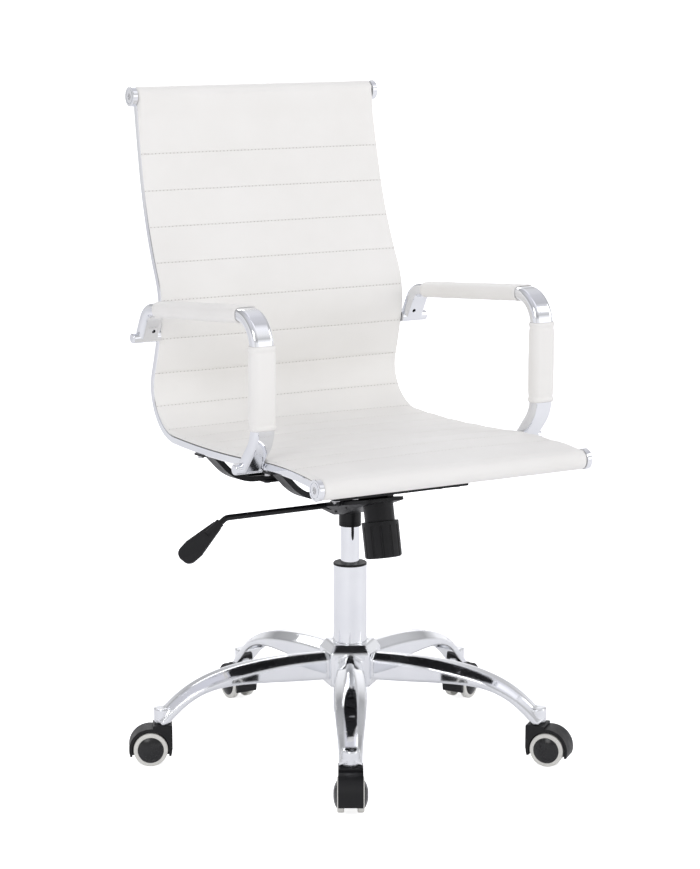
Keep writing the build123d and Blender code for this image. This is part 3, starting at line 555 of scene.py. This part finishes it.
for side, hand in ((1, "left"), (-1, "right")):
    rear, front = [top_point(side, y) for y in TOP_SLEEVE]
    build_sleeve(f"leather_top_sleeve_{hand}", f"arm_top_sleeve_{hand}", rear, front, side * 3.0)
    upper, lower = [Vector((side * ARM_X, ARM_FRONT, z)) for z in FRONT_SLEEVE]
    build_sleeve(f"leather_front_sleeve_{hand}", f"arm_front_sleeve_{hand}", upper, lower, side * 7.0)


# ---------------------------------------------------------------- stage, light and camera
FLOOR_HALF = 9.0
FLOOR_Z = -0.0002
floor_mat, floor_tree, floor_bsdf = new_material("floor_white")
floor_bsdf.inputs["Base Color"].default_value = (0.92, 0.92, 0.93, 1.0)
floor_bsdf.inputs["Roughness"].default_value = 0.6
floor_bsdf.inputs["Emission Color"].default_value = (1.0, 1.0, 1.0, 1.0)
# The floor glows a little on the chair, and more where it is looked at, so that it stays pale.
seen = add_node(floor_tree, "ShaderNodeLightPath")
glow = add_node(floor_tree, "ShaderNodeMath", operation="MULTIPLY_ADD")
glow.inputs[1].default_value = 0.70
glow.inputs[2].default_value = 0.10
floor_tree.links.new(seen.outputs["Is Camera Ray"], glow.inputs[0])
floor_tree.links.new(glow.outputs["Value"], floor_bsdf.inputs["Emission Strength"])
floor_mesh = bmesh.new()
floor_corners = [(x * FLOOR_HALF, y * FLOOR_HALF, FLOOR_Z) for x, y in ((-1, -1), (1, -1), (1, 1), (-1, 1))]
floor_mesh.faces.new([floor_mesh.verts.new(corner) for corner in floor_corners])
floor = finish_mesh(floor_mesh, "floor", floor_mat, flat=True)

# Brightness of the studio's walls by direction, as a share of a turn from -X towards -Y.
PANELS = (
    (0.06, 0.85), (0.15, 0.66), (0.20, 0.84), (0.29, 0.88), (0.345, 1.30), (0.375, 1.30),
    (0.42, 0.72), (0.55, 0.80), (0.66, 1.10), (0.78, 0.60), (0.90, 0.78),
)
world = bpy.data.worlds.new("studio")
bpy.context.scene.world = world
world.use_nodes = True
sky = world.node_tree
background = sky.nodes["Background"]
coords = add_node(sky, "ShaderNodeTexCoord")
split = add_node(sky, "ShaderNodeSeparateXYZ")
sky.links.new(coords.outputs["Generated"], split.inputs["Vector"])
height_ramp = add_node(sky, "ShaderNodeValToRGB")
elements = height_ramp.color_ramp.elements
elements[0].position = 0.0
elements[0].color = (0.92, 0.92, 0.95, 1)
elements[1].position = 1.0
elements[1].color = (0.78, 0.78, 0.82, 1)
for position, level in ((0.50, 0.95), (0.62, 0.90), (0.70, 0.42), (0.78, 0.60)):
    stop = elements.new(position)
    stop.color = (level, level, level, 1)
remap = add_node(sky, "ShaderNodeMapRange")
remap.inputs["From Min"].default_value = -1.0
remap.inputs["From Max"].default_value = 1.0
sky.links.new(split.outputs["Z"], remap.inputs["Value"])
sky.links.new(remap.outputs["Result"], height_ramp.inputs["Fac"])
turn = add_node(sky, "ShaderNodeMath", operation="ARCTAN2")
sky.links.new(split.outputs["Y"], turn.inputs[0])
sky.links.new(split.outputs["X"], turn.inputs[1])
around = add_node(sky, "ShaderNodeMapRange")
around.inputs["From Min"].default_value = -math.pi
around.inputs["From Max"].default_value = math.pi
sky.links.new(turn.outputs["Value"], around.inputs["Value"])
panels = add_node(sky, "ShaderNodeValToRGB")
panels.color_ramp.elements[0].color = (0.80, 0.80, 0.84, 1)
panels.color_ramp.elements[1].color = (0.80, 0.80, 0.84, 1)
for position, level in PANELS:
    stop = panels.color_ramp.elements.new(position)
    stop.color = (level, level, level * 1.02, 1)
sky.links.new(around.outputs["Result"], panels.inputs["Fac"])
both = add_node(sky, "ShaderNodeMixRGB", blend_type="MULTIPLY")
both.inputs["Fac"].default_value = 1.0
sky.links.new(height_ramp.outputs["Color"], both.inputs["Color1"])
sky.links.new(panels.outputs["Color"], both.inputs["Color2"])
sky.links.new(both.outputs["Color"], background.inputs["Color"])
background.inputs["Strength"].default_value = 1.22
bright = add_node(sky, "ShaderNodeBackground")
bright.inputs["Color"].default_value = (1, 1, 1, 1)
bright.inputs["Strength"].default_value = 1.3
chooser = add_node(sky, "ShaderNodeMixShader")
path = add_node(sky, "ShaderNodeLightPath")
sky.links.new(path.outputs["Is Camera Ray"], chooser.inputs["Fac"])
sky.links.new(background.outputs["Background"], chooser.inputs[1])
sky.links.new(bright.outputs["Background"], chooser.inputs[2])
sky.links.new(chooser.outputs["Shader"], sky.nodes["World Output"].inputs["Surface"])


def softbox(name, place, target, wide, high, power):
    light = bpy.data.lights.new(name, "AREA")
    light.shape = "RECTANGLE"
    light.size = wide
    light.size_y = high
    light.energy = power
    lamp = bpy.data.objects.new(name, light)
    lamp.location = place
    aim = Vector(target) - Vector(place)
    lamp.rotation_euler = aim.to_track_quat("-Z", "Y").to_euler()
    bpy.context.scene.collection.objects.link(lamp)


softbox("key", (-2.6, -2.2, 2.6), (0, 0, 0.6), 1.6, 1.6, 25)
softbox("fill", (2.6, -1.8, 2.2), (0, 0, 0.6), 1.4, 1.8, 14)
softbox("rear", (0.4, 2.8, 2.6), (0, 0, 0.6), 2.2, 1.0, 18)

camera_data = bpy.data.cameras.new("photo_camera")
camera_data.lens = 103.23
camera_data.sensor_width = 36.0
camera_data.clip_end = 100.0
camera = bpy.data.objects.new("photo_camera", camera_data)
camera.location = (-1.8104, -3.1110, 1.1498)
camera.rotation_euler = (math.pi / 2 - 0.18578, 0.0, -0.52702)
bpy.context.scene.collection.objects.link(camera)
bpy.context.scene.camera = camera

bpy.context.scene.view_settings.view_transform = "Standard"
